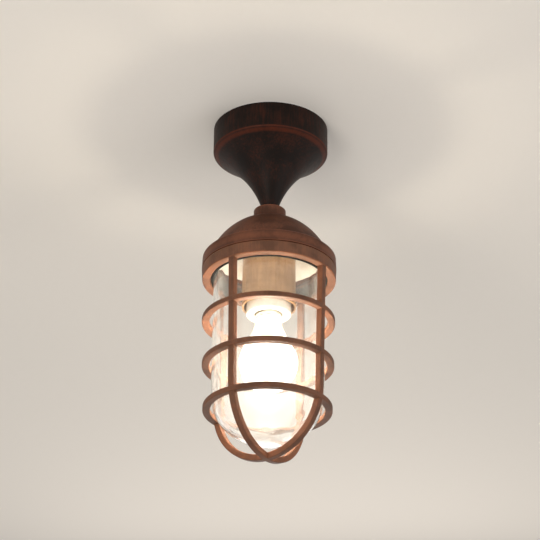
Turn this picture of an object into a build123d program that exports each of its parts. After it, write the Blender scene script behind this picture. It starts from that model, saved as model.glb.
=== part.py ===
from build123d import *
from math import copysign, sqrt
import os

# A caged ceiling light. The origin is on the axis, in the plane of the ceiling, and
# the light hangs down from it along -Z. Sizes are in millimetres.

# Canopy: a drum that runs down in a trumpet to the neck, just wide enough for the crossbar
canopy_wall = 2.5
canopy_room = 0.35
drum_height = 28.0
drum_edge_r = 2.2
trumpet_height = 67.2
trumpet_arc_r = 114.0
neck_wall = 2.6
gasket_height = 4.0
gasket_width = 4.0
gasket_ledge = 2.0

# Stem: a hollow pipe with a 10 mm thread, and what is clamped on it
stem_r = 5.0
stem_bore_r = 3.25
stem_slip = 0.2
thread_slip = 0.05
nut_across = 14.0
nut_height = 4.0
washer_r = 9.0
washer_height = 1.2
stem_top_drop = 10.0
stem_proud = 1.0

# Crossbar: a steel strap with dropped middle, slotted for the ceiling box
bar_width = 22.0
bar_thickness = 2.0
bar_tab_length = 15.1
slot_spacing = 88.9
slot_length = 10.0
slot_width = 5.0
lock_teeth = 10
lock_tooth_depth = 1.6
lock_tooth_width = 1.4

# Dome housing: collar, dome and rim
neck_seal_height = 1.0
collar_r = 16.6
collar_height = 12.3
collar_edge_r = 0.9
dome_height = 44.2
dome_arc_r = 72.6
dome_wall = 3.0
dome_ledge = 6.0
dome_boss_height = 4.5
rim_d = 137.4
rim_flare = 0.5
rim_height = 12.3
rim_wall = 3.6
rim_edge_r = 0.9
rim_floor = 3.5
rim_lip_width = 6.1

# Guard: one casting of band, hoops and ribs, with a threaded spigot inside the rim
guard_lead = 4.0
guard_slip = 0.3
seam_gap = 0.5
spigot_wall = 2.3
spigot_top_gap = 1.0
band_height = 12.4
band_taper = 0.7
seat_width = 2.8
band_edge_r = 1.0
hoop_drop = 42.8
hoop_pitch = 47.8
hoop_count = 3
hoop_proud = 1.1
hoop_width = 7.5
hoop_height = 5.4
hoop_edge_r = 0.9
rib_inset = 1.5
rib_taper = 3.0
rib_bend_drop = 2.9
rib_depth = 6.6
rib_width = 6.6
rib_edge_r = 0.9
rib_step = 0.3

# Glass jar and its gaskets
jar_gap = 3.0
jar_wall = 3.0
jar_straight = 146.5
jar_bottom_lift = 6.5
flange_slip = 0.7
flange_height = 4.0
flange_fillet = 1.6
seat_slip = 0.4
upper_gasket_height = 2.5
lower_gasket_height = 1.2

# Heat shield: white dish above the jar
shield_thickness = 1.0
shield_margin = 3.0
shield_rim_gap = 1.0
shield_rim_rise = 3.8
shield_depth = 13.9

# Socket: cup, bracket, porcelain and brass
cup_gap = 3.0
cup_wall = 1.5
cup_height = 69.5
cup_edge_r = 3.0
bracket_thickness = 1.5
bracket_leg_gap = 3.5
bracket_width = 16.0
bracket_height = 25.0
bracket_foot_margin = 4.7
socket_r = 22.5
socket_height = 52.0
socket_edge_r = 2.0
socket_screw_inset = 6.5
screw_r = 1.7
screw_head_r = 3.2
screw_head_height = 2.2
screw_length = 11.0
terminal_spacing = 28.0
screw_slip = 0.2
shell_r = 13.4
shell_wall = 0.7
shell_depth = 26.0
shell_slip = 0.1
contact_r = 5.0
contact_height = 1.2

# Bulb: pear shape with a 26 mm screw cap, hung cap up
bulb_r = 30.0
bulb_length = 108.0
bulb_wall = 1.0
bulb_neck_r = 12.2
bulb_waist_angle = 35.0
cap_play = 0.3
cap_wall = 1.6
cap_height = 25.0
cap_slip = 0.2
cap_threads = 4
cap_pitch = 3.63
thread_depth = 0.8
insulator_height = 3.0
bulb_tip_r = 4.6
bulb_tip_height = 1.6
tip_gap = 0.3

# Leads, ground screw and twist-on connectors
lead_r = 1.05
lead_gap = 0.3
lead_bend_r = 5.0
lead_reach = 26.0
lead_slip = 0.1
ground_r = 0.8
ground_screw_x = 22.0
ground_screw_r = 1.9
ground_head_r = 4.0
ground_head_height = 2.4
connector_r = 5.2
connector_tip_r = 3.4
connector_height = 18.0
connector_bore_depth = 8.0

# Levels, from the ceiling down
drum_z = -drum_height
neck_z = drum_z - trumpet_height
collar_z = neck_z - neck_seal_height
dome_top_z = collar_z - collar_height
rim_top_z = dome_top_z - dome_height
rim_z = rim_top_z - rim_height
rim_floor_z = rim_top_z - rim_floor
band_top_z = rim_z - seam_gap
band_z = band_top_z - band_height
rib_head_z = (band_top_z + band_z) / 2
flange_top_z = rim_floor_z - upper_gasket_height
flange_z = flange_top_z - flange_height
ledge_z = flange_z - lower_gasket_height
jar_bend_z = flange_top_z - jar_straight
rib_bend_z = jar_bend_z - rib_bend_drop
boss_z = dome_top_z - dome_boss_height
stem_top_z = -stem_top_drop
bar_top_z = stem_top_z - stem_proud - nut_height
bar_z = bar_top_z - bar_thickness
shield_z = rim_floor_z + shield_rim_rise + shield_thickness + shield_depth
cup_top_z = shield_z - shield_thickness
cup_z = cup_top_z - cup_height
web_top_z = cup_top_z - cup_wall
stem_z = web_top_z - bracket_thickness - nut_height - 2 * stem_proud
socket_top_z = web_top_z - bracket_height
socket_z = socket_top_z - socket_height
shell_z = socket_z + 2 * socket_edge_r
shell_top_z = shell_z + shell_depth - 2 * socket_edge_r
contact_z = shell_top_z + contact_height
bulb_top_z = contact_z - contact_height - tip_gap

# Radii and places that several pieces share
bar_end = (slot_spacing + bar_tab_length) / 2
bar_corner_r = sqrt(bar_end**2 + (bar_width / 2) ** 2)
gasket_inner_r = bar_corner_r + canopy_room
canopy_inner_r = gasket_inner_r + gasket_width
canopy_r = canopy_inner_r + canopy_wall
stem_hole_r = stem_r + stem_slip
nut_hole_r = stem_r + thread_slip
neck_r = stem_hole_r + neck_wall
rim_r = rim_d / 2
dome_foot_r = rim_r - rim_flare - dome_ledge
spigot_r = rim_r - rim_flare - rim_wall
rim_bore_r = spigot_r + guard_slip
spigot_inner_r = spigot_r - spigot_wall
band_bore_r = spigot_inner_r - seat_width
flange_r = spigot_inner_r - flange_slip
jar_r = band_bore_r - jar_gap
rib_top_r = rim_r - rib_inset
rib_bend_r = rib_top_r - rib_taper
cup_r = socket_r + cup_gap + cup_wall
shield_flat_r = cup_r + shield_margin
socket_screw_x = socket_r - socket_screw_inset
cap_r = shell_r - cap_play
lead_lane = lead_r + lead_gap


def arc_centre(start, end, radius):
    """Centre of an arc through two points, left of the way for a positive radius."""
    chord = end - start
    reach = sqrt(radius**2 - (chord.length / 2) ** 2)
    left = Vector(-chord.Y, chord.X).normalized()
    return (start + end) / 2 + left * copysign(reach, radius)


def arc_about(centre, start, end):
    """The short arc about a centre from one point to another."""
    middle = (start + end) / 2 - centre
    return ThreePointArc(start, centre + middle.normalized() * (start - centre).length, end)


def section(*edges):
    """A face bounded by edges, drawn as radius and height."""
    return make_face(Curve() + list(edges))


def rounded(face, point, radius):
    """The face with the corner nearest to a point rounded."""
    corner = face.vertices().sort_by_distance((point[0], point[1], 0))[0]
    return fillet(corner, radius)


def turned(face):
    """A section turned about the light's axis."""
    return revolve(Plane.XZ * face, Axis.Z)


def ring(inner_r, outer_r, low_z, high_z):
    """A plain ring on the axis."""
    corners = [(inner_r, low_z), (outer_r, low_z), (outer_r, high_z), (inner_r, high_z)]
    return turned(make_face(Polyline(*corners, close=True)))


def peg(radius, low_z, high_z, x=0.0, y=0.0):
    """A round peg that stands along Z."""
    middle = Pos(x, y, (low_z + high_z) / 2)
    return middle * Cylinder(radius, high_z - low_z)


def plate(size_x, size_y, low_z, high_z, x=0.0, y=0.0):
    """A flat block between two heights."""
    middle = Pos(x, y, (low_z + high_z) / 2)
    return middle * Box(size_x, size_y, high_z - low_z)


def hex_nut(high_z):
    """A hexagon nut on the stem, with its top face at a height."""
    outline = RegularPolygon(nut_across / 2, 6, major_radius=False)
    body = extrude(Pos(0, 0, high_z - nut_height) * outline, nut_height)
    return body - peg(nut_hole_r, high_z - nut_height - 1, high_z + 1)


def pan_screw(x, y, seat_z, radius, head_r, head_height, length):
    """A round-headed screw that goes down from its seat."""
    head = peg(head_r, seat_z, seat_z + head_height, x, y)
    rim = head.edges().filter_by(GeomType.CIRCLE).sort_by(Axis.Z)[-1]
    return fillet(rim, head_height / 3) + peg(radius, seat_z - length, seat_z, x, y)


def tube(points, radius, bends):
    """A round lead along straight runs joined by tangent arcs."""
    path = FilletPolyline(*points, radius=bends)
    mouth = Plane(origin=path @ 0, z_dir=path % 0)
    return sweep(mouth * Circle(radius), path)


# Canopy
trumpet_start = Vector(canopy_r, drum_z)
trumpet_end = Vector(neck_r, neck_z)
trumpet_centre = arc_centre(trumpet_start, trumpet_end, trumpet_arc_r)
canopy_inner_arc_r = trumpet_arc_r + canopy_wall
shoulder_rise = sqrt(canopy_inner_arc_r**2 - (canopy_inner_r - trumpet_centre.X) ** 2)
canopy_shoulder = Vector(canopy_inner_r, trumpet_centre.Y + shoulder_rise)
throat_z = neck_z + canopy_wall
throat_reach = sqrt(canopy_inner_arc_r**2 - (throat_z - trumpet_centre.Y) ** 2)
canopy_throat = Vector(trumpet_centre.X - throat_reach, throat_z)
canopy_face = section(
    Line((canopy_r, 0), trumpet_start),
    arc_about(trumpet_centre, trumpet_start, trumpet_end),
    Polyline(trumpet_end, (stem_hole_r, neck_z), (stem_hole_r, throat_z), canopy_throat),
    arc_about(trumpet_centre, canopy_throat, canopy_shoulder),
    Polyline(
        canopy_shoulder,
        (canopy_inner_r, -gasket_height - gasket_ledge),
        (gasket_inner_r, -gasket_height - gasket_ledge),
        (gasket_inner_r, -gasket_height),
        (canopy_inner_r, -gasket_height),
        (canopy_inner_r, 0),
        (canopy_r, 0),
    ),
)
canopy = turned(rounded(canopy_face, (canopy_r, drum_z), drum_edge_r))
canopy_gasket = ring(gasket_inner_r, canopy_inner_r, -gasket_height, 0)
neck_seal = ring(stem_hole_r, neck_r, collar_z, neck_z)

# Crossbar, with tabs against the ceiling and the middle dropped
tab_start = bar_end - bar_tab_length
bar_outline = Polyline(
    (-bar_end, 0),
    (-tab_start, 0),
    (-tab_start, bar_top_z),
    (tab_start, bar_top_z),
    (tab_start, 0),
    (bar_end, 0),
    (bar_end, -bar_thickness),
    (tab_start + bar_thickness, -bar_thickness),
    (tab_start + bar_thickness, bar_z),
    (-tab_start - bar_thickness, bar_z),
    (-tab_start - bar_thickness, -bar_thickness),
    (-bar_end, -bar_thickness),
    close=True,
)
bar_body = extrude(Plane.XZ * make_face(bar_outline), bar_width / 2, both=True)
slot = extrude(SlotOverall(slot_length, slot_width), 2 * bar_thickness, both=True)
slots = [Pos(side * slot_spacing / 2, 0, 0) * slot for side in (-1, 1)]
ground_hole = peg(ground_screw_r + screw_slip, bar_z - 1, bar_top_z + 1, ground_screw_x)
mounting_crossbar = bar_body - slots - peg(stem_hole_r, bar_z - 1, bar_top_z + 1) - ground_hole

# Stem, and the nuts and washers on it
stem_nipple = ring(stem_bore_r, stem_r, stem_z, stem_top_z)
lock_top_z = bar_z
lock_z = lock_top_z - washer_height
lock_tooth = plate(2 * lock_tooth_depth, lock_tooth_width, lock_z - 1, lock_top_z + 1, washer_r)
lock_gaps = [Rot(0, 0, 360 / lock_teeth * n) * lock_tooth for n in range(lock_teeth)]
crossbar_lock_washer = ring(stem_hole_r, washer_r, lock_z, lock_top_z) - lock_gaps
crossbar_nuts = [hex_nut(bar_top_z + nut_height), hex_nut(lock_z)]
dome_washer = ring(stem_hole_r, washer_r, boss_z - washer_height, boss_z)
dome_nut = hex_nut(boss_z - washer_height)
cup_nuts = [hex_nut(shield_z + nut_height), hex_nut(web_top_z - bracket_thickness)]

# Dome housing
dome_start = Vector(collar_r, dome_top_z)
dome_end = Vector(dome_foot_r, rim_top_z)
dome_centre = arc_centre(dome_start, dome_end, -dome_arc_r)
dome_inner_arc_r = dome_arc_r - dome_wall
lip_r = rim_bore_r - rim_lip_width
lip_point = Vector(lip_r, dome_centre.Y + sqrt(dome_inner_arc_r**2 - (lip_r - dome_centre.X) ** 2))
boss_point = Vector(dome_centre.X + sqrt(dome_inner_arc_r**2 - (boss_z - dome_centre.Y) ** 2), boss_z)
dome_face = section(
    Polyline((stem_hole_r, collar_z), (collar_r, collar_z), dome_start),
    arc_about(dome_centre, dome_start, dome_end),
    Polyline(
        dome_end,
        (rim_r - rim_flare, rim_top_z),
        (rim_r, rim_z),
        (rim_bore_r, rim_z),
        (rim_bore_r, rim_floor_z),
        (lip_r, rim_floor_z),
        lip_point,
    ),
    arc_about(dome_centre, lip_point, boss_point),
    Polyline(boss_point, (stem_hole_r, boss_z), (stem_hole_r, collar_z)),
)
dome_face = rounded(dome_face, (collar_r, collar_z), collar_edge_r)
dome_face = rounded(dome_face, (rim_r - rim_flare, rim_top_z), rim_edge_r)
dome_face = rounded(dome_face, (dome_foot_r, rim_top_z), rim_edge_r)
dome_housing = turned(dome_face)

# Guard: the turned band with its spigot, then hoops and two crossed arches of ribs
spigot_top_z = rim_floor_z - spigot_top_gap
band_face = section(
    Polyline(
        (band_bore_r, band_z),
        (rim_r - band_taper, band_z),
        (rim_r, band_top_z),
        (spigot_r, band_top_z),
        (spigot_r, spigot_top_z),
        (spigot_inner_r, spigot_top_z),
        (spigot_inner_r, ledge_z),
        (band_bore_r, ledge_z),
        close=True,
    )
)
for corner in ((rim_r - band_taper, band_z), (rim_r, band_top_z), (band_bore_r, band_z)):
    band_face = rounded(band_face, corner, band_edge_r)
band = turned(band_face)
spigot_length = spigot_top_z - band_top_z
for turn in range(int(spigot_length // guard_lead)):
    groove_z = band_top_z + guard_lead * (turn + 0.5)
    groove = ring(spigot_r - thread_depth, spigot_r + 1, groove_z - thread_depth, groove_z + thread_depth)
    band = band - groove


def hoop(top_z):
    """A hoop of rounded flat section, a little proud of the ribs at its height."""
    middle_z = top_z - hoop_height / 2
    drop = max(rib_bend_z - middle_z, 0)
    slope = rib_taper / (rib_head_z - rib_bend_z)
    rib_r = rib_bend_r + slope * max(middle_z - rib_bend_z, 0)
    outer_r = sqrt(rib_r**2 - drop**2) + hoop_proud
    middle = Pos(outer_r - hoop_width / 2, middle_z)
    return turned(middle * RectangleRounded(hoop_width, hoop_height, hoop_edge_r))


def arch_line(inset, bend_z):
    """An arch from band to band, at a depth below the ribs' outer face."""
    head = Vector(rib_top_r - inset, rib_head_z)
    bend = Vector(rib_bend_r - inset, bend_z)
    foot = Vector(0, bend_z - rib_bend_r + inset)
    far_head = Vector(-head.X, head.Y)
    far_bend = Vector(-bend.X, bend.Y)
    return [Line(head, bend), ThreePointArc(bend, foot, far_bend), Line(far_bend, far_head)]


def arch(bend_z):
    """Two ribs in one arch, with rounded edges."""
    outer = arch_line(0, bend_z)
    inner = arch_line(rib_depth, bend_z)
    heads = [Line(outer[0] @ 0, inner[0] @ 0), Line(outer[2] @ 1, inner[2] @ 1)]
    body = extrude(Plane.XZ * section(*outer, *inner, *heads), rib_width / 2, both=True)
    sides = body.faces().sort_by(Axis.Y)
    return fillet(sides[0].edges() + sides[-1].edges(), rib_edge_r)


arches = [Rot(0, 0, 45) * arch(rib_bend_z), Rot(0, 0, 135) * arch(rib_bend_z + rib_step)]
hoops = [hoop(band_z - hoop_drop - hoop_pitch * n) for n in range(hoop_count)]
guard_cage = band + hoops + arches

# Glass jar, hung by its flange, and the gaskets above and below the flange
jar_inner_r = jar_r - jar_wall
jar_centre = (0, jar_bend_z)
jar_depth = jar_r - jar_bottom_lift
jar_face = section(
    Polyline(
        (jar_inner_r, jar_bend_z),
        (jar_inner_r, flange_top_z),
        (flange_r, flange_top_z),
        (flange_r, flange_z),
        (jar_r, flange_z),
        (jar_r, jar_bend_z),
    ),
    EllipticalCenterArc(jar_centre, jar_r, jar_depth, -90, arc_size=90),
    Line((0, jar_bend_z - jar_depth), (0, jar_bend_z - jar_depth + jar_wall)),
    EllipticalCenterArc(jar_centre, jar_inner_r, jar_depth - jar_wall, -90, arc_size=90),
)
jar_face = rounded(jar_face, (jar_r, flange_z), flange_fillet)
for corner in ((flange_r, flange_top_z), (flange_r, flange_z), (jar_inner_r, flange_top_z)):
    jar_face = rounded(jar_face, corner, flange_fillet / 2)
glass_jar = turned(jar_face)
upper_glass_gasket = ring(lip_r + seat_slip, flange_r, flange_top_z, rim_floor_z)
lower_glass_gasket = ring(band_bore_r, flange_r, ledge_z, flange_z)

# Heat shield: a dish, flat where it is clamped, that spreads out to the jar's mouth
shield_r = lip_r - shield_rim_gap
shield_face = make_face(
    Polyline(
        (stem_hole_r, shield_z),
        (shield_flat_r, shield_z),
        (shield_r, shield_z - shield_depth),
        (shield_r, shield_z - shield_depth - shield_thickness),
        (shield_flat_r, shield_z - shield_thickness),
        (stem_hole_r, shield_z - shield_thickness),
        close=True,
    )
)
heat_shield = turned(shield_face)

# Socket cup, open below
cup_face = make_face(
    Polyline(
        (stem_hole_r, cup_top_z),
        (cup_r, cup_top_z),
        (cup_r, cup_z),
        (cup_r - cup_wall, cup_z),
        (cup_r - cup_wall, web_top_z),
        (stem_hole_r, web_top_z),
        close=True,
    )
)
cup_face = rounded(cup_face, (cup_r, cup_top_z), cup_edge_r)
cup_face = rounded(cup_face, (cup_r - cup_wall, web_top_z), cup_edge_r - cup_wall)
socket_cup = turned(cup_face)

# Socket bracket: a strap on the stem with two feet on the porcelain
half_web = socket_screw_x - bracket_leg_gap
foot_end = socket_screw_x + bracket_foot_margin
bracket_outline = Polyline(
    (-half_web, web_top_z),
    (half_web, web_top_z),
    (half_web, socket_top_z + bracket_thickness),
    (foot_end, socket_top_z + bracket_thickness),
    (foot_end, socket_top_z),
    (half_web - bracket_thickness, socket_top_z),
    (half_web - bracket_thickness, web_top_z - bracket_thickness),
    (bracket_thickness - half_web, web_top_z - bracket_thickness),
    (bracket_thickness - half_web, socket_top_z),
    (-foot_end, socket_top_z),
    (-foot_end, socket_top_z + bracket_thickness),
    (-half_web, socket_top_z + bracket_thickness),
    close=True,
)
bracket_body = extrude(Plane.XZ * make_face(bracket_outline), bracket_width / 2, both=True)
screw_xs = (-socket_screw_x, socket_screw_x)
screw_seat_z = socket_top_z + bracket_thickness
hole_r = screw_r + screw_slip
screw_holes = [peg(hole_r, screw_seat_z - screw_length - 1, screw_seat_z + 1, x) for x in screw_xs]
stem_hole = peg(stem_hole_r, web_top_z - bracket_thickness - 1, web_top_z + 1)
socket_bracket = bracket_body - screw_holes - stem_hole
socket_screws = [
    pan_screw(x, 0, screw_seat_z, screw_r, screw_head_r, screw_head_height, screw_length)
    for x in screw_xs
]

# Porcelain socket, its brass shell and contact, and the two terminals on top
terminal_ys = (-terminal_spacing / 2, terminal_spacing / 2)
terminal_seat_z = socket_top_z + 2 * (lead_r + lead_slip)
terminal_depth = screw_length
terminal_holes = [
    peg(hole_r, terminal_seat_z - terminal_depth - 1, terminal_seat_z, y=y) for y in terminal_ys
]
shell_outer_r = shell_r + shell_wall
socket_bore_r = shell_outer_r + shell_slip
socket_face = make_face(
    Polyline(
        (0, socket_top_z),
        (socket_r, socket_top_z),
        (socket_r, socket_z),
        (socket_bore_r, socket_z),
        (socket_bore_r, shell_top_z),
        (contact_r + shell_slip, shell_top_z),
        (contact_r + shell_slip, contact_z),
        (0, contact_z),
        close=True,
    )
)
for corner in ((socket_r, socket_z), (socket_r, socket_top_z), (socket_bore_r, socket_z)):
    socket_face = rounded(socket_face, corner, socket_edge_r)
socket_body = turned(socket_face) - screw_holes - terminal_holes
socket_shell = ring(shell_r, shell_outer_r, shell_z, shell_top_z)
centre_contact = peg(contact_r, contact_z - contact_height, contact_z)
terminal_screws = [
    pan_screw(0, y, terminal_seat_z, screw_r, screw_head_r, screw_head_height, terminal_depth)
    for y in terminal_ys
]

# Bulb: contact tip, insulator, screw cap and pear-shaped envelope
tip_z = bulb_top_z - bulb_tip_height
bulb_contact = peg(bulb_tip_r, tip_z, bulb_top_z)
insulator_z = tip_z - insulator_height
cap_inner_r = cap_r - cap_wall
insulator_face = make_face(
    Polyline((0, tip_z), (bulb_tip_r, tip_z), (cap_inner_r, insulator_z), (0, insulator_z), close=True)
)
bulb_insulator = turned(insulator_face)
cap_top_z = insulator_z
cap_z = cap_top_z - cap_height
bulb_cap = ring(cap_inner_r, cap_r, cap_z, cap_top_z)
for turn in range(cap_threads):
    groove_z = cap_top_z - cap_pitch * (turn + 1)
    bulb_cap = bulb_cap - ring(cap_r - thread_depth, cap_r + 1, groove_z - thread_depth, groove_z + thread_depth)
neck_r_in_cap = cap_inner_r - cap_slip
neck_top_z = cap_z + cap_height / 4
bulb_centre = Vector(0, bulb_top_z - bulb_length + bulb_r)
waist_turn = Vector(bulb_r, 0).rotate(Axis.Z, bulb_waist_angle)
waist = bulb_centre + waist_turn
waist_way = Vector(-waist_turn.Y, waist_turn.X)
bulb_throat = Vector(bulb_neck_r, cap_z - cap_slip)


def envelope_line(inset):
    """The envelope's outline from the neck to the bottom, at a depth below its outer face."""
    inner_waist = bulb_centre + waist_turn.normalized() * (bulb_r - inset)
    inner_throat = Vector(bulb_throat.X - inset, bulb_throat.Y)
    bottom = bulb_centre - Vector(0, bulb_r - inset)
    side = bulb_centre + Vector(bulb_r - inset, 0)
    return [
        TangentArc(inner_waist, inner_throat, tangent=waist_way),
        arc_about(bulb_centre, inner_waist, side),
        arc_about(bulb_centre, side, bottom),
    ]


envelope_outer = envelope_line(0)
envelope_inner = envelope_line(bulb_wall)
envelope_neck = Polyline(
    bulb_throat,
    (neck_r_in_cap, bulb_throat.Y),
    (neck_r_in_cap, neck_top_z),
    (neck_r_in_cap - bulb_wall, neck_top_z),
    (neck_r_in_cap - bulb_wall, bulb_throat.Y),
    (bulb_throat.X - bulb_wall, bulb_throat.Y),
)
envelope_foot = Line(envelope_outer[2] @ 1, envelope_inner[2] @ 1)
bulb_globe = turned(section(*envelope_outer, *envelope_inner, envelope_neck, envelope_foot))

# Leads: from the terminals up the stem, over its top and down into the connectors
lead_top_z = stem_top_z + lead_bend_r
lead_bed_z = socket_top_z + lead_r + lead_slip
lead_side = screw_r + lead_r + lead_slip
connector_top_z = bar_z + bar_thickness
lead_end_z = connector_top_z - connector_bore_depth + 1


def supply_lead(side):
    """A lead from its terminal, up one side of the stem's bore, to its connector."""
    terminal_y = terminal_spacing / 2
    points = [
        (lead_side, side * (terminal_y + screw_r), lead_bed_z),
        (lead_side, side * terminal_y * 0.6, lead_bed_z),
        (0, side * lead_lane, stem_z - 2 * lead_bend_r),
        (0, side * lead_lane, lead_top_z),
        (0, side * lead_reach, lead_top_z),
        (0, side * lead_reach, lead_end_z),
    ]
    bends = [lead_bend_r / 2, lead_bend_r, lead_bend_r, lead_bend_r]
    return tube(points, lead_r, bends)


def connector(x, y, top_z, wire_r):
    """A tapered twist-on connector, open at the top for its lead."""
    low_z = top_z - connector_height
    outline = [(0, low_z), (connector_tip_r, low_z), (connector_r, top_z)]
    bore_r = wire_r + lead_slip
    bore = [(bore_r, top_z), (bore_r, top_z - connector_bore_depth), (0, top_z - connector_bore_depth)]
    face = make_face(Polyline(*outline, *bore, close=True))
    face = rounded(face, (connector_tip_r, low_z), connector_tip_r / 2)
    return Pos(x, y, 0) * turned(face)


live_lead = supply_lead(1)
neutral_lead = supply_lead(-1)
ground_bed_z = bar_top_z + ground_r + lead_slip
ground_seat_z = bar_top_z + 2 * (ground_r + lead_slip)
ground_side = ground_screw_x - ground_screw_r - ground_r - lead_slip
ground_connector_z = connector_top_z - lead_bend_r
ground_lead = tube(
    [
        (ground_side, -ground_head_r, ground_bed_z),
        (ground_side, lead_reach, ground_bed_z),
        (ground_side, lead_reach, ground_connector_z - connector_bore_depth + 1),
    ],
    ground_r,
    [lead_bend_r],
)
ground_length = ground_seat_z - bar_z + bar_thickness
ground_screw = pan_screw(
    ground_screw_x, 0, ground_seat_z, ground_screw_r, ground_head_r, ground_head_height, ground_length
)
wire_connectors = [
    connector(0, lead_reach, connector_top_z, lead_r),
    connector(0, -lead_reach, connector_top_z, lead_r),
    connector(ground_side, lead_reach, ground_connector_z, ground_r),
]

# One STEP file for each piece; like fasteners share a file as separate solids
pieces = {
    "mounting_crossbar": mounting_crossbar,
    "stem_nipple": stem_nipple,
    "crossbar_nuts": crossbar_nuts,
    "crossbar_lock_washer": crossbar_lock_washer,
    "ground_screw": ground_screw,
    "canopy": canopy,
    "canopy_gasket": canopy_gasket,
    "neck_seal": neck_seal,
    "dome_housing": dome_housing,
    "dome_washer": dome_washer,
    "dome_nut": dome_nut,
    "heat_shield": heat_shield,
    "cup_nuts": cup_nuts,
    "socket_cup": socket_cup,
    "socket_bracket": socket_bracket,
    "socket_screws": socket_screws,
    "socket_body": socket_body,
    "terminal_screws": terminal_screws,
    "socket_shell": socket_shell,
    "centre_contact": centre_contact,
    "live_lead": live_lead,
    "neutral_lead": neutral_lead,
    "ground_lead": ground_lead,
    "wire_connectors": wire_connectors,
    "upper_glass_gasket": upper_glass_gasket,
    "lower_glass_gasket": lower_glass_gasket,
    "glass_jar": glass_jar,
    "guard_cage": guard_cage,
    "bulb_contact": bulb_contact,
    "bulb_insulator": bulb_insulator,
    "bulb_cap": bulb_cap,
    "bulb_globe": bulb_globe,
}
os.makedirs("parts", exist_ok=True)
for name, piece in pieces.items():
    solids = piece if isinstance(piece, list) else [piece]
    group = Compound([solid for item in solids for solid in item.solids()])
    export_step(group, f"parts/{name}.step")
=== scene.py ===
from math import atan2, cos, pi, radians, sin, sqrt

import bmesh
import bpy
from mathutils import Matrix, Vector


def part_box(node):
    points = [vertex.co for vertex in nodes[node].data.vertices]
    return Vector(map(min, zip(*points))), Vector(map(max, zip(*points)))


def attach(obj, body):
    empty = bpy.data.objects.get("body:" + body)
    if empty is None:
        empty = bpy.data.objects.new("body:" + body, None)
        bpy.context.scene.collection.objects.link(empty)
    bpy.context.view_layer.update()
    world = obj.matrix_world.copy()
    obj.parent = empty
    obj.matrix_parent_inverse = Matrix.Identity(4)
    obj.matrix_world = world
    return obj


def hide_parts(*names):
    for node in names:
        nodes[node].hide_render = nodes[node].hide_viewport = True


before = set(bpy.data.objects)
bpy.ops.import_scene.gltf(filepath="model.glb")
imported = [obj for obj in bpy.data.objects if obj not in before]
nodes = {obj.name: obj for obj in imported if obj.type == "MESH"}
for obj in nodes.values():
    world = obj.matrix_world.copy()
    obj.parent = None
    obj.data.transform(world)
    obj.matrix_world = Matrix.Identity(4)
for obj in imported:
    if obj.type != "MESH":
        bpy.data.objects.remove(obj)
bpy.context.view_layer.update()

# Mounting crossbar: a pressed steel strap whose middle drops below the ceiling, slotted
# for the two screws of the ceiling box. It is zinc plated, with the edges left by the
# press slightly rounded.


def tint(red, green, blue):
    """A colour picked as 8-bit screen values, in linear terms."""
    shares = [part / 255 for part in (red, green, blue)]
    linear = [s / 12.92 if s <= 0.04045 else ((s + 0.055) / 1.055) ** 2.4 for s in shares]
    return (*linear, 1.0)


class Shade:
    """A value in a finish. Arithmetic on it adds Math nodes, and add() makes any other node."""

    def __init__(self, tree, socket=None):
        self.tree = tree
        self.socket = socket

    def add(self, kind, sockets, out=0, **settings):
        node = self.tree.nodes.new("ShaderNode" + kind)
        for name, value in settings.items():
            setattr(node, name, value)
        for name, value in sockets.items():
            if isinstance(value, Shade):
                self.tree.links.new(value.socket, node.inputs[name])
            else:
                node.inputs[name].default_value = value
        return Shade(self.tree, node.outputs[out])

    def other(self, name):
        """Another output of the node that this value comes from."""
        return Shade(self.tree, self.socket.node.outputs[name])

    def math(self, operation, first, second=0.0):
        return self.add("Math", {0: first, 1: second}, operation=operation)

    def __add__(self, value):
        return self.math("ADD", self, value)

    def __radd__(self, value):
        return self.math("ADD", value, self)

    def __sub__(self, value):
        return self.math("SUBTRACT", self, value)

    def __mul__(self, value):
        return self.math("MULTIPLY", self, value)

    def __truediv__(self, value):
        return self.math("DIVIDE", self, value)

    def __pow__(self, value):
        return self.math("POWER", self, value)

    def __abs__(self):
        return self.math("ABSOLUTE", self)

    def most(self, value):
        return self.math("MAXIMUM", self, value)

    def least(self, value):
        return self.math("MINIMUM", self, value)

    def ease(self, low, high, bottom=0.0, top=1.0):
        """The value eased from bottom at low to top at high."""
        sockets = {"Value": self, "From Min": low, "From Max": high, "To Min": bottom, "To Max": top}
        return self.add("MapRange", sockets, interpolation_type="SMOOTHSTEP")

    def noise(self, scale, stretch=(1, 1, 1), detail=3.0, roughness=0.55):
        """Noise at a scale in features per metre, on coordinates stretched along the axes."""
        spread = self.add("Mapping", {"Vector": self, "Scale": stretch})
        sockets = {"Vector": spread, "Scale": scale, "Detail": detail, "Roughness": roughness}
        return self.add("TexNoise", sockets)

    def blend(self, first, second):
        """The first colour where this mask is 0 and the second where it is 1."""
        sockets = {"Factor": self, 6: first, 7: second}
        return self.add("Mix", sockets, out=2, data_type="RGBA")

    def bump(self, depth, strength=1.0, normal=None):
        """A surface normal from this height, which runs from 0 to 1 over a depth in metres."""
        sockets = {"Height": self, "Distance": depth, "Strength": strength}
        if normal is not None:
            sockets["Normal"] = normal
        return self.add("Bump", sockets)


def blank_finish(name, colour, roughness, metallic=0.0):
    """A new material with its surface shader, and the object coordinates to shade it by."""
    material = bpy.data.materials.new(name)
    material.use_nodes = True
    tree = material.node_tree
    surface = tree.nodes["Principled BSDF"]
    surface.inputs["Base Color"].default_value = colour
    surface.inputs["Roughness"].default_value = roughness
    surface.inputs["Metallic"].default_value = metallic
    place = Shade(tree).add("TexCoord", {}, out="Object")
    return material, surface, place


def feed(surface, **values):
    """Links shaded values to the surface shader's sockets."""
    for name, value in values.items():
        socket = surface.inputs[name.replace("_", " ")]
        value.tree.links.new(value.socket, socket)


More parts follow.
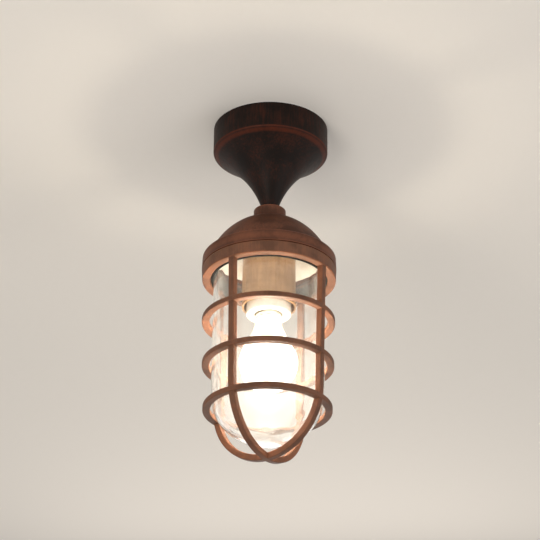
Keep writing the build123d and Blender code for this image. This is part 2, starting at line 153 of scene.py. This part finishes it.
def zinc_plate():
    """Bright zinc on steel: cloudy, a little blue, with fine rolling lines."""
    material, surface, place = blank_finish("zinc_plate", tint(186, 188, 186), 0.34, 1.0)
    cloud = place.noise(90)
    lines = place.noise(420, stretch=(0.12, 1, 1))
    bright = tint(196, 198, 197)
    dull = tint(158, 160, 156)
    feed(surface, Base_Color=cloud.ease(0.38, 0.66).blend(bright, dull))
    feed(surface, Roughness=(cloud * 0.2 + lines * 0.12 + 0.16).ease(0, 0.5, 0.2, 0.5))
    feed(surface, Normal=lines.bump(0.00006, 0.5))
    return material


zinc = zinc_plate()
weld = 1e-6
flat = radians(0.5)
sharp = radians(40)


def merged_copy(node):
    """A node's mesh as one welded shape, with its flat faces whole."""
    shape = bmesh.new()
    shape.from_mesh(nodes[node].data)
    bmesh.ops.remove_doubles(shape, verts=shape.verts, dist=weld)
    bmesh.ops.dissolve_limit(shape, angle_limit=flat, verts=shape.verts, edges=shape.edges)
    return shape


def fit(shape, name, node, body, material, crease=sharp):
    """Makes a shape a finished piece that rides on a body and stands in for a node."""
    mesh = bpy.data.meshes.new(name)
    shape.to_mesh(mesh)
    shape.free()
    mesh.materials.append(material)
    mesh.shade_smooth()
    mesh.set_sharp_from_angle(angle=crease)
    piece = bpy.data.objects.new(name, mesh)
    bpy.context.scene.collection.objects.link(piece)
    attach(piece, body)
    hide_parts(node)


def eased(node, body, edge, material):
    """A copy of a node with its sharp edges eased, which stands in for it."""
    shape = merged_copy(node)
    arrises = [e for e in shape.edges if e.is_manifold and e.calc_face_angle() > sharp]
    bmesh.ops.bevel(
        shape,
        geom=arrises,
        offset=edge,
        affect="EDGES",
        segments=2,
        profile=0.5,
        material=-1,
        clamp_overlap=True,
    )
    fit(shape, node + "_eased", node, body, material)


def dress(node, material):
    """Gives a node its finish."""
    nodes[node].material_slots[0].material = material


crossbar_edge = 0.0004
eased("mounting_crossbar", "housing", crossbar_edge, zinc)

# Ground screw: a round-headed steel screw on the crossbar with a driver slot, dyed green
# over its zinc so that it is known as the earth terminal.


def green_dye():
    """Green dye that lets the plating shine through."""
    material, surface, place = blank_finish("green_dye", tint(46, 104, 62), 0.35, 0.75)
    patches = place.noise(700).ease(0.42, 0.7)
    feed(surface, Base_Color=patches.blend(tint(44, 102, 60), tint(96, 136, 100)))
    return material


slot_length = 0.0056
slot_width = 0.0013
slot_depth = 0.0012


def slotted_screw():
    """The ground screw with a driver slot sunk in its head."""
    shape = merged_copy("ground_screw")
    screw_low, screw_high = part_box("ground_screw")
    head = Vector(((screw_low.x + screw_high.x) / 2, 0, screw_high.z))

    def head_top(inside):
        """The flat faces of the head's top that pass a test, with their edges and corners."""
        top = [f for f in shape.faces if all(abs(v.co.z - head.z) < weld for v in f.verts)]
        faces = [f for f in top if inside(f.calc_center_median() - head)]
        edges = {e for f in faces for e in f.edges}
        corners = {v for f in faces for v in f.verts}
        return faces + list(edges) + list(corners)

    lengthways = Vector((slot_length / 2, 0, 0))
    sideways = Vector((0, slot_width / 2, 0))
    for side in (lengthways, -lengthways, sideways, -sideways):
        everywhere = head_top(lambda off: True)
        out = side.normalized()
        bmesh.ops.bisect_plane(shape, geom=everywhere, dist=weld, plane_co=head + side, plane_no=out)
    floor = head_top(lambda off: abs(off.x) < lengthways.x and abs(off.y) < sideways.y)
    sunk = bmesh.ops.extrude_face_region(shape, geom=floor)["geom"]
    corners = [v for v in sunk if isinstance(v, bmesh.types.BMVert)]
    bmesh.ops.translate(shape, verts=corners, vec=(0, 0, -slot_depth))
    bmesh.ops.recalc_face_normals(shape, faces=shape.faces)
    fit(shape, "slotted_ground_screw", "ground_screw", "housing", green_dye())


slotted_screw()

# Stem: a hollow steel nipple with a fine thread from end to end. The crossbar, dome and
# socket are all clamped on it, and the leads run up through its bore.
stem_pitch = 0.001
stem_thread_depth = 0.0006


def threaded_zinc():
    """Zinc plate with a screw thread round the light's axis and painted shade in its hollows."""
    material, surface, place = blank_finish("threaded_zinc", tint(176, 176, 170), 0.36, 1.0)
    across = place.add("SeparateXYZ", {"Vector": place})
    turn = across.math("ARCTAN2", across.other("Y"), across) / (2 * pi)
    ridge = across.math("PINGPONG", across.other("Z") / stem_pitch + turn, 0.5)
    # The base colour is darker in the thread's hollows: painted shade.
    feed(surface, Base_Color=ridge.ease(0.0, 0.35).blend(tint(92, 90, 84), tint(186, 186, 180)))
    feed(surface, Normal=ridge.bump(stem_thread_depth))
    return material


dress("stem_nipple", threaded_zinc())

# Nuts and washers: plain hexagon nuts, a toothed lock washer under the crossbar and a
# flat washer under the dome, all zinc plated. They clamp the light together on the stem.
nut_edge = 0.0005
washer_edge = 0.0002
for nut in ("crossbar_nuts", "dome_nut", "cup_nuts"):
    eased(nut, "housing", nut_edge, zinc)
for washer in ("crossbar_lock_washer", "dome_washer"):
    eased(washer, "housing", washer_edge, zinc)

# Canopy: a cast drum that runs down in a trumpet to the neck. Its bronze is darkened nearly
# to black as painted shade for the dome's shadow on it, and rubbed back to rust red below
# the drum's edge and at the neck.
canopy_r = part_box("canopy")[1].x
drum_edge_z = -0.0281
neck_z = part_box("canopy")[0].z


def ring_wear(r, z, rings):
    """How near a point is to any of a list of edges, each a radius, a height and a reach."""
    wear = None
    for ring_r, ring_z, reach in rings:
        gap = ((r - ring_r) ** 2 + (z - ring_z) ** 2) ** 0.5
        near = gap.ease(0.0, reach, 1.0, 0.0)
        wear = near if wear is None else wear.most(near)
    return wear


def bronze_paint(name, ground, rub, brush, rings, rib_width=None):
    """Dark bronze paint on a sand casting, dry-brushed with rust and rubbed at its edges."""
    material, surface, place = blank_finish(name, ground, 0.5)
    surface.inputs["Specular IOR Level"].default_value = 0.1
    x = place.add("SeparateXYZ", {"Vector": place})
    y = x.other("Y")
    z = x.other("Z")
    r = (x * x + y * y) ** 0.5
    wear = ring_wear(r, z, rings)
    if rib_width is not None:
        across = abs(x - y).least(abs(x + y)) / (rib_width * 2**0.5)
        wear = wear.most(across.ease(0.28, 0.48) * across.ease(0.52, 0.6, 1.0, 0.0) * 0.8)
    cloud = place.noise(46, detail=4)
    mottle = place.noise(260, detail=4, roughness=0.65)
    strokes = place.noise(620, stretch=(1, 1, 0.07), detail=3)
    brushed = (cloud * 0.55 + strokes * 0.6 + mottle * 0.2).ease(0.6, 0.9) * brush
    rubbed = (wear * (0.3 + cloud * 0.6 + mottle * 0.5)).ease(0.35, 0.95) * 0.8
    sooty = cloud.ease(0.55, 0.35) * 0.5
    deep = tuple(part * 0.5 for part in ground[:3]) + (1.0,)
    colour = sooty.blend(ground, deep)
    colour = brushed.most(rubbed).blend(colour, rub)
    grain = place.noise(1500, detail=2)
    peel = place.noise(420, detail=2)
    feed(surface, Base_Color=colour)
    feed(surface, Roughness=(mottle * 0.25 + strokes * 0.15).ease(0.1, 0.32, 0.42, 0.6))
    feed(surface, Normal=grain.bump(0.00004, 0.5, peel.bump(0.00014, 0.6)))
    return material


neck_r = 0.0078
drum_edge_r = 0.003
drum_rub_drop = 0.0028
drum_rub_reach = 0.0075
neck_rub_reach = 0.005
canopy_rings = [
    (canopy_r - drum_edge_r, drum_edge_z - drum_rub_drop, drum_rub_reach),
    (canopy_r, drum_edge_z, drum_edge_r),
    (neck_r, neck_z, neck_rub_reach),
]
# The canopy's ground colour is set far darker than the dome's as painted shade.
dress("canopy", bronze_paint("canopy_bronze_and_shade", tint(29, 21, 18), tint(86, 40, 25), 0.3, canopy_rings))

# Canopy gasket: a ring of closed-cell foam in a step of the canopy's rim, level with the
# edge, that keeps rain off the ceiling box.


def foam_rubber():
    """Charcoal foam with open pores on its cut faces, with painted shade in the pores."""
    material, surface, place = blank_finish("foam_rubber", tint(44, 44, 44), 0.9)
    sockets = {"Vector": place, "Scale": 900.0}
    pores = place.add("TexVoronoi", sockets).ease(0.0, 0.45)
    # The pores' hollows are coloured darker: painted shade.
    feed(surface, Base_Color=pores.blend(tint(22, 22, 22), tint(58, 58, 57)))
    feed(surface, Normal=pores.bump(0.0003, 0.7))
    return material


dress("canopy_gasket", foam_rubber())

# Neck seal and upper jar gasket: black moulded rubber rings. One closes the joint between
# the canopy and the dome, and the other lies between the dome and the jar's flange.


def seal_rubber():
    """Black rubber with a dusty bloom."""
    material, surface, place = blank_finish("seal_rubber", tint(16, 15, 15), 0.75)
    surface.inputs["Specular IOR Level"].default_value = 0.2
    bloom = place.noise(300).ease(0.4, 0.7)
    feed(surface, Base_Color=bloom.blend(tint(14, 13, 13), tint(28, 27, 26)))
    feed(surface, Normal=place.noise(2400).bump(0.00005, 0.4))
    return material


rubber = seal_rubber()
for seal in ("neck_seal", "upper_glass_gasket"):
    dress(seal, rubber)

# Dome housing: collar, dome and rim in one casting, in the same bronze as the canopy and
# browner, since the canopy's is darkened as painted shade. Its collar and rim edges are
# rubbed back to rust.
collar_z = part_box("dome_housing")[1].z
rim_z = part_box("dome_housing")[0].z
rim_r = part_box("dome_housing")[1].x
collar_r = 0.0166
collar_height = 0.0123
rim_height = 0.0123
rim_top_inset = 0.001
rim_rub_out = 0.003
collar_top_reach = 0.0045
collar_foot_reach = 0.0035
rim_top_reach = 0.0034
seam_reach = 0.0026
dome_rings = [
    (collar_r, collar_z, collar_top_reach),
    (collar_r, collar_z - collar_height, collar_foot_reach),
    (rim_r - rim_top_inset, rim_z + rim_height, rim_top_reach),
    (rim_r + rim_rub_out, rim_z + rim_height / 2, rim_height),
    (rim_r, rim_z, seam_reach),
]
dress("dome_housing", bronze_paint("dome_bronze", tint(87, 58, 46), tint(126, 78, 58), 0.5, dome_rings))

# Heat shield: a pressed dish in white baked enamel that closes the dome above the jar and
# throws the light down.


def white_enamel():
    """Glossy enamel, faintly creamy, with a shallow orange peel."""
    material, surface, place = blank_finish("white_enamel", tint(232, 229, 220), 0.25)
    warm = place.noise(40).ease(0.4, 0.65)
    feed(surface, Base_Color=warm.blend(tint(236, 233, 226), tint(222, 216, 202)))
    feed(surface, Normal=place.noise(500).bump(0.00008, 0.5))
    return material


dress("heat_shield", white_enamel())

# Socket cup: a deep-drawn metal cup round the lamp socket, in a satin bronze lightened as
# painted light for the bulb's light bouncing in the jar, with faint lines from the drawing die.


def cup_bronze():
    """Satin bronze with rings and streaks from drawing, lightened as painted light."""
    material, surface, place = blank_finish("cup_bronze", tint(168, 130, 88), 0.42, 0.35)
    rings = place.noise(500, stretch=(0.05, 0.05, 1))
    streaks = place.noise(500, stretch=(1, 1, 0.05))
    cloud = place.noise(60)
    shade = (rings * 0.4 + streaks * 0.6 + cloud * 0.5).ease(0.55, 0.95)
    # The bronze's tone is raised as painted light from the lit jar.
    feed(surface, Base_Color=shade.blend(tint(150, 114, 74), tint(184, 144, 100)))
    feed(surface, Roughness=(streaks * 0.3 + 0.25).ease(0.3, 0.55, 0.32, 0.5))
    feed(surface, Normal=rings.bump(0.00006, 0.4))
    return material


dress("socket_cup", cup_bronze())

# Socket bracket and its screws: a bent zinc-plated strap under the cup's top, with two
# feet that are screwed to the porcelain.
bracket_edge = 0.0003
eased("socket_bracket", "housing", bracket_edge, zinc)
dress("socket_screws", zinc)

# Porcelain socket: a slip-cast white body, glazed all over, whose lower rim shows below
# the cup.


def porcelain_glaze():
    """White glaze, pooled a little darker in places, under a clear gloss."""
    material, surface, place = blank_finish("porcelain_glaze", tint(236, 232, 222), 0.16)
    pooled = place.noise(70).ease(0.4, 0.7)
    specks = place.noise(1600, detail=1).ease(0.73, 0.78)
    body = pooled.blend(tint(240, 237, 229), tint(226, 219, 204))
    feed(surface, Base_Color=(specks * 0.6).blend(body, tint(150, 132, 108)))
    feed(surface, Normal=place.noise(160).bump(0.0002, 0.35))
    surface.inputs["Coat Weight"].default_value = 0.5
    return material


dress("socket_body", porcelain_glaze())

# Screw shell, centre contact and terminal screws: pressed brass, tarnished a little where
# the heat of the lamp reaches it.


def pressed_brass():
    """Yellow brass with brown tarnish."""
    material, surface, place = blank_finish("pressed_brass", tint(190, 150, 80), 0.3, 1.0)
    tarnish = place.noise(220, detail=4).ease(0.45, 0.75)
    feed(surface, Base_Color=tarnish.blend(tint(202, 164, 92), tint(134, 98, 54)))
    feed(surface, Roughness=tarnish.ease(0, 1, 0.22, 0.5))
    return material


brass = pressed_brass()
for fitting in ("socket_shell", "centre_contact", "terminal_screws"):
    dress(fitting, brass)

# Leads: two insulated supply leads from the terminals up the stem to the connectors, and
# a bare copper lead from the ground screw.


def insulation(name, colour, grime):
    """Smooth extruded insulation with a faint haze."""
    material, surface, place = blank_finish(name, colour, 0.45)
    haze = place.noise(350).ease(0.45, 0.75) * 0.5
    feed(surface, Base_Color=haze.blend(colour, grime))
    return material


def bare_copper():
    """Drawn copper with brown spots."""
    material, surface, place = blank_finish("bare_copper", tint(184, 110, 72), 0.3, 1.0)
    spots = place.noise(800).ease(0.5, 0.75)
    feed(surface, Base_Color=spots.blend(tint(192, 118, 80), tint(112, 64, 44)))
    return material


dress("live_lead", insulation("black_insulation", tint(34, 34, 35), tint(62, 61, 60)))
dress("neutral_lead", insulation("white_insulation", tint(222, 220, 212), tint(188, 182, 168)))
dress("ground_lead", bare_copper())

# Wire connectors: tapered twist-on caps of moulded orange plastic, fluted for grip, on the
# upper ends of the leads.
connector_y = 0.026
ground_connector_x = 0.0192
connector_reach = 0.006
flute_count = 12
flute_depth = 0.0005
flute_cuts = 4
flute_start_r = 0.0019
flute_full_r = 0.0033
flute_crease = radians(50)
sliver = 1e-5


def connector_plastic():
    """Orange plastic with a moulded grain."""
    material, surface, place = blank_finish("connector_plastic", tint(214, 112, 36), 0.5)
    scuff = place.noise(500).ease(0.5, 0.8)
    feed(surface, Base_Color=scuff.blend(tint(216, 114, 38), tint(190, 92, 26)))
    feed(surface, Normal=place.noise(2600).bump(0.00006, 0.6))
    return material


def fluted_connectors():
    """The three connectors with grip flutes down their sides."""
    shape = merged_copy("wire_connectors")
    for x, y in ((0, connector_y), (0, -connector_y), (ground_connector_x, connector_y)):
        axis = Vector((x, y, 0))
        for cut in range(flute_count * flute_cuts // 2):
            turn = 2 * pi * cut / (flute_count * flute_cuts)
            across = (-sin(turn), cos(turn), 0)
            near = [v for v in shape.verts if (v.co - axis).xy.length < connector_reach]
            edges = {e for v in near for e in v.link_edges}
            faces = {f for v in near for f in v.link_faces}
            geom = near + list(edges) + list(faces)
            bmesh.ops.bisect_plane(shape, geom=geom, dist=weld, plane_co=axis, plane_no=across)
        for vert in shape.verts:
            off = (vert.co - axis).xy
            if flute_start_r < off.length < connector_reach:
                share = min((off.length - flute_start_r) / (flute_full_r - flute_start_r), 1)
                wave = (1 - cos(flute_count * atan2(off.y, off.x))) / 2
                vert.co -= (off.normalized() * flute_depth * share * wave).to_3d()
    bmesh.ops.dissolve_degenerate(shape, dist=sliver, edges=shape.edges)
    plastic = connector_plastic()
    fit(
        shape,
        "fluted_connectors",
        "wire_connectors",
        "housing",
        plastic,
        flute_crease,
    )


fluted_connectors()

# Glass jar: clear pressed glass with a round bottom, hung by its flange. The wall has the
# soft upright ripples of glass that ran in the mould.


def clear_where(mask, surface, colour):
    """Makes a finish see-through where a mask is 1."""
    passed = mask.add("BsdfTransparent", {"Color": colour})
    mixed = mask.add("MixShader", {0: mask, 2: passed})
    mask.tree.links.new(surface.outputs["BSDF"], mixed.socket.node.inputs[1])
    mask.tree.links.new(mixed.socket, mask.tree.nodes["Material Output"].inputs["Surface"])


def let_lamps_through(surface, place, colour):
    """Makes a finish cast no shadow, so that a lamp behind it shines through."""
    clear_where(place.add("LightPath", {}, out="Is Shadow Ray"), surface, colour)


def clear_glass():
    """Clear glass with watery ripples."""
    material, surface, place = blank_finish("clear_glass", (0.985, 0.99, 0.985, 1), 0.05)
    surface.inputs["Transmission Weight"].default_value = 0.965
    surface.inputs["IOR"].default_value = 1.47
    wave = place.noise(24, stretch=(1, 1, 0.4), detail=1)
    ripple = place.noise(52, stretch=(1, 1, 0.14), detail=1)
    reed = place.noise(120, stretch=(1, 1, 0.06), detail=0)
    feed(surface, Normal=(wave + ripple * 0.55 + reed * 0.1).bump(0.002, 0.7))
    let_lamps_through(surface, place, (0.96, 0.97, 0.96, 1))
    return material


dress("glass_jar", clear_glass())

# Lower jar gasket: a rubber ring under the jar's flange, with a skirt that fills the gap
# between the jar and the guard's band and shows there as a black line: a dark sheet of
# painted shade for the shadow in that gap.
jar_r = 0.0565
band_gap = 0.003
skirt_slip = 0.00015
skirt_edge = 0.0004
skirt_drop = 0.0131
skirt_steps = 128


def gasket_with_shade_skirt():
    """The gasket and its skirt of painted shade as one ring, turned from its section."""
    gasket_low, gasket_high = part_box("lower_glass_gasket")
    flange_r = gasket_high.x
    bore_r = jar_r + band_gap
    skirt_r = bore_r - skirt_slip
    inner_r = jar_r + skirt_slip
    skirt_z = rim_z - skirt_drop
    section = [
        (flange_r, gasket_high.z),
        (flange_r, gasket_low.z),
        (skirt_r, gasket_low.z),
        (skirt_r, skirt_z + skirt_edge),
        (skirt_r - skirt_edge, skirt_z),
        (inner_r + skirt_edge, skirt_z),
        (inner_r, skirt_z + skirt_edge),
        (inner_r, gasket_low.z),
        (bore_r, gasket_high.z),
    ]
    shape = bmesh.new()
    corners = [shape.verts.new((r, 0, z)) for r, z in section]
    edges = [shape.edges.new(pair) for pair in zip(corners, corners[1:] + corners[:1])]
    bmesh.ops.spin(
        shape, geom=corners + edges, axis=(0, 0, 1), angle=2 * pi, steps=skirt_steps, use_merge=True
    )
    bmesh.ops.recalc_face_normals(shape, faces=shape.faces)
    fit(shape, "gasket_with_shade_skirt", "lower_glass_gasket", "glass", rubber)


gasket_with_shade_skirt()

# Guard: band, three hoops and four ribs in one casting, screwed into the dome with the
# jar. Its arrises are rubbed back to rust by hands and brushes.
seam_gap = 0.0005
band_height = 0.0124
band_taper = 0.0007
hoop_count = 3
hoop_drop = 0.0428
hoop_pitch = 0.0478
hoop_height = 0.0054
hoop_proud = 0.0011
rib_taper = 0.003
rib_inset = 0.0015
rib_bend_r = rim_r - rib_inset - rib_taper
rib_bend_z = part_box("guard_cage")[0].z + rib_bend_r
band_top_z = rim_z - seam_gap
band_z = band_top_z - band_height
edge_reach = 0.0016
guard_rings = [(rim_r, band_top_z, seam_reach), (rim_r - band_taper, band_z, seam_reach)]
for hoop in range(hoop_count):
    hoop_top_z = band_z - hoop_drop - hoop * hoop_pitch
    above_bend = hoop_top_z - hoop_height / 2 - rib_bend_z
    rib_slope = rib_taper / (band_top_z - band_height / 2 - rib_bend_z)
    rib_r = rib_bend_r + rib_slope * max(above_bend, 0)
    hoop_r = sqrt(rib_r**2 - min(above_bend, 0) ** 2) + hoop_proud
    guard_rings.append((hoop_r, hoop_top_z, edge_reach))
    guard_rings.append((hoop_r, hoop_top_z - hoop_height, edge_reach))
rib_width = 0.0066
brown = tint(110, 78, 62)
rust = tint(142, 90, 64)
dress("guard_cage", bronze_paint("guard_bronze", brown, rust, 0.5, guard_rings, rib_width))

# Bulb: a pear-shaped opal bulb, hung cap up and lit. A rolled nickel cap screws into the
# shell, with a black glass insulator and a drop of solder on top.


def cap_nickel():
    """Nickel plate with dull patches drawn out round the cap."""
    material, surface, place = blank_finish("cap_nickel", tint(196, 194, 188), 0.26, 1.0)
    dull = place.noise(300, stretch=(1, 1, 3)).ease(0.4, 0.7)
    feed(surface, Base_Color=dull.blend(tint(204, 202, 196), tint(150, 146, 138)))
    return material


def black_glass():
    """Black glass with a wavy fire-polished skin."""
    material, surface, place = blank_finish("black_glass", tint(18, 17, 18), 0.08)
    feed(surface, Normal=place.noise(400).bump(0.0001, 0.4))
    return material


def solder():
    """Dull grey solder."""
    material, surface, place = blank_finish("solder", tint(150, 150, 148), 0.45, 1.0)
    feed(surface, Roughness=place.noise(1200).ease(0.3, 0.7, 0.3, 0.6))
    return material


white = (1, 1, 1, 1)
glow_low_z = -0.252
glow_high_z = -0.222


def opal_glass():
    """Opal glass lit from within, nearly white below and warm towards the neck."""
    material, surface, place = blank_finish("opal_glass", tint(246, 240, 228), 0.22)
    height = place.add("SeparateXYZ", {"Vector": place}, out="Z")
    glow = height.ease(glow_low_z, glow_high_z, 1.0, 0.0)
    feed(surface, Emission_Color=glow.blend(tint(255, 206, 142), tint(255, 244, 226)))
    surface.inputs["Emission Strength"].default_value = 2.0
    let_lamps_through(surface, place, white)
    return material


cap_low, cap_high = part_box("bulb_cap")
cap_r = cap_high.x
cap_pitch = 25.4e-3 / 7
cap_thread_depth = 0.0008
cap_thread_turns = 5
cap_turns_cut_off = 1.5
cap_thread_steps = 8
cap_turn_steps = 48
cap_skirt_height = 0.0045
cap_run_out = 0.001
cap_run_out_inset = 0.0004
cap_shoulder_inset = 0.0006
cap_shoulder_drop = 0.002
cap_top_r = 0.0115
cap_wall = 0.0016
cap_crease = radians(50)


def rolled_cap():
    """The bulb's cap: a round thread rolled in thin sheet between a skirt and a shoulder."""
    shape = bmesh.new()
    outline = []
    for step in range(cap_thread_steps + 1):
        share = step / cap_thread_steps
        dip = cap_thread_depth * (1 - cos(2 * pi * share)) / 2
        outline.append(shape.verts.new((cap_r - dip, 0, cap_low.z + cap_pitch * (share - 0.5))))
    edges = [shape.edges.new(pair) for pair in zip(outline, outline[1:])]
    bmesh.ops.spin(
        shape,
        geom=outline + edges,
        axis=(0, 0, 1),
        dvec=(0, 0, cap_pitch / cap_turn_steps),
        angle=2 * pi * cap_thread_turns,
        steps=cap_turn_steps * cap_thread_turns,
    )
    bmesh.ops.remove_doubles(shape, verts=shape.verts, dist=sliver)
    skirt_z = cap_low.z + cap_skirt_height
    shoulder_z = skirt_z + cap_pitch * (cap_thread_turns - cap_turns_cut_off)
    for cut_z, side in ((skirt_z, -1), (shoulder_z, 1)):
        everything = shape.verts[:] + shape.edges[:] + shape.faces[:]
        bmesh.ops.bisect_plane(
            shape, geom=everything, plane_co=(0, 0, cut_z), plane_no=(0, 0, side), clear_outer=True
        )
    skirt = [
        (cap_r, skirt_z - cap_run_out),
        (cap_r, cap_low.z),
        (cap_r - cap_wall, cap_low.z),
    ]
    shoulder = [
        (cap_r - cap_run_out_inset, shoulder_z + cap_run_out),
        (cap_r - cap_shoulder_inset, cap_high.z - cap_shoulder_drop),
        (cap_top_r, cap_high.z),
    ]
    for start_z, steps in ((skirt_z, skirt), (shoulder_z, shoulder)):
        rim = [e for e in shape.edges if e.is_boundary]
        loop = [e for e in rim if all(abs(v.co.z - start_z) < weld for v in e.verts)]
        for radius, z in steps:
            made = bmesh.ops.extrude_edge_only(shape, edges=loop)["geom"]
            loop = [e for e in made if isinstance(e, bmesh.types.BMEdge) and e.is_boundary]
            for vert in {v for e in loop for v in e.verts}:
                vert.co = (vert.co.xy.normalized() * radius).to_3d() + Vector((0, 0, z))
    bmesh.ops.recalc_face_normals(shape, faces=shape.faces)
    fit(shape, "rolled_cap", "bulb_cap", "bulb", cap_nickel(), cap_crease)


rolled_cap()
dress("bulb_insulator", black_glass())
dress("bulb_contact", solder())
dress("bulb_globe", opal_glass())

# Studio: a plain pale ceiling, cut out over the canopy so that views from above see into
# it, a pale world, a small lamp in the bulb, and soft lamps in front of the light and
# behind it.
ceiling_reach = 2.2
ceiling_gap = 0.0003
ceiling_lap = 0.0002
ceiling_steps = 96
cutout_r = canopy_r - ceiling_lap


def pale_ceiling():
    """Matte pale plaster from below, and nothing from above."""
    material, surface, place = blank_finish("pale_ceiling", tint(240, 235, 228), 0.9)
    clear_where(place.add("NewGeometry", {}, out="Backfacing"), surface, white)
    return material


ceiling_shape = bmesh.new()
hole_edge = ceiling_shape.verts.new((cutout_r, 0, ceiling_gap))
far_edge = ceiling_shape.verts.new((ceiling_reach, 0, ceiling_gap))
strip = ceiling_shape.edges.new((hole_edge, far_edge))
bmesh.ops.spin(
    ceiling_shape,
    geom=[hole_edge, far_edge, strip],
    axis=(0, 0, 1),
    angle=2 * pi,
    steps=ceiling_steps,
    use_merge=True,
)
bmesh.ops.recalc_face_normals(ceiling_shape, faces=ceiling_shape.faces)
if ceiling_shape.faces[:][0].normal.z > 0:
    bmesh.ops.reverse_faces(ceiling_shape, faces=ceiling_shape.faces)
ceiling_mesh = bpy.data.meshes.new("ceiling")
ceiling_shape.to_mesh(ceiling_mesh)
ceiling_shape.free()
ceiling_mesh.materials.append(pale_ceiling())
ceiling = bpy.data.objects.new("ceiling", ceiling_mesh)
bpy.context.scene.collection.objects.link(ceiling)

world = bpy.data.worlds.new("studio")
world.use_nodes = True
bpy.context.scene.world = world
air = Shade(world.node_tree)
path = air.add("LightPath", {}, out="Is Camera Ray")
shown = path.most(path.other("Is Glossy Ray")).most(path.other("Is Transmission Ray"))
world_light = 0.5
world_seen = 0.95
strength = shown.ease(0.0, 1.0, world_light, world_seen)
background = world.node_tree.nodes["Background"]
background.inputs["Color"].default_value = tint(250, 247, 243)
world.node_tree.links.new(strength.socket, background.inputs["Strength"])


def soft_lamp(name, place, aim, width, power, colour):
    """A square soft box at a place, turned to face a point."""
    lamp = bpy.data.lights.new(name, "AREA")
    lamp.size = width
    lamp.energy = power
    lamp.color = colour[:3]
    box = bpy.data.objects.new(name, lamp)
    box.location = place
    box.rotation_euler = (Vector(aim) - Vector(place)).to_track_quat("-Z", "Y").to_euler()
    bpy.context.scene.collection.objects.link(box)


bulb_low, bulb_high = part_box("bulb_globe")
filament = bpy.data.lights.new("filament", "POINT")
filament.energy = 0.7
filament.shadow_soft_size = 0.012
filament.color = tint(255, 240, 218)[:3]
lit_bulb = bpy.data.objects.new("filament", filament)
lit_bulb.location = (0, 0, bulb_low.z + bulb_high.x)
bpy.context.scene.collection.objects.link(lit_bulb)

middle = (0, 0, -0.2)
soft_lamp("key", (-0.9, -1.1, -0.75), middle, width=0.7, power=8.0, colour=tint(255, 248, 238))
soft_lamp("fill", (1.1, -0.8, -0.5), middle, width=0.9, power=4.0, colour=tint(250, 248, 250))
soft_lamp("back", (0.3, 1.2, -0.6), middle, width=0.9, power=2.5, colour=tint(255, 246, 236))

# Camera: below the light and in front of it, as in the photograph, through a long lens. It
# looks up at the light and leans by a hair.
frame_px = 540
focal_px = 2008.0
camera_reach = 1.829
camera_drop = 1.0926
camera_aside = 0.0009
camera_turn = radians(-10.6)
camera_pitch = radians(26.91)
camera_roll = radians(0.65)
lens = bpy.data.cameras.new("camera")
lens.sensor_width = 36.0
lens.lens = lens.sensor_width * focal_px / frame_px
camera = bpy.data.objects.new("camera", lens)
bpy.context.scene.collection.objects.link(camera)
bpy.context.scene.camera = camera
heading = Vector((-sin(camera_turn), cos(camera_turn), 0))
ahead = heading * cos(camera_pitch) + Vector((0, 0, sin(camera_pitch)))
level = ahead.cross(Vector((0, 0, 1))).normalized()
upright = level.cross(ahead)
across = level * cos(camera_roll) + upright * sin(camera_roll)
upward = upright * cos(camera_roll) - level * sin(camera_roll)
turn = Matrix((across, upward, -ahead)).transposed().to_4x4()
camera_place = level * camera_aside - heading * camera_reach - Vector((0, 0, camera_drop))
camera.matrix_world = Matrix.Translation(camera_place) @ turn

bpy.context.scene.view_settings.view_transform = "Standard"
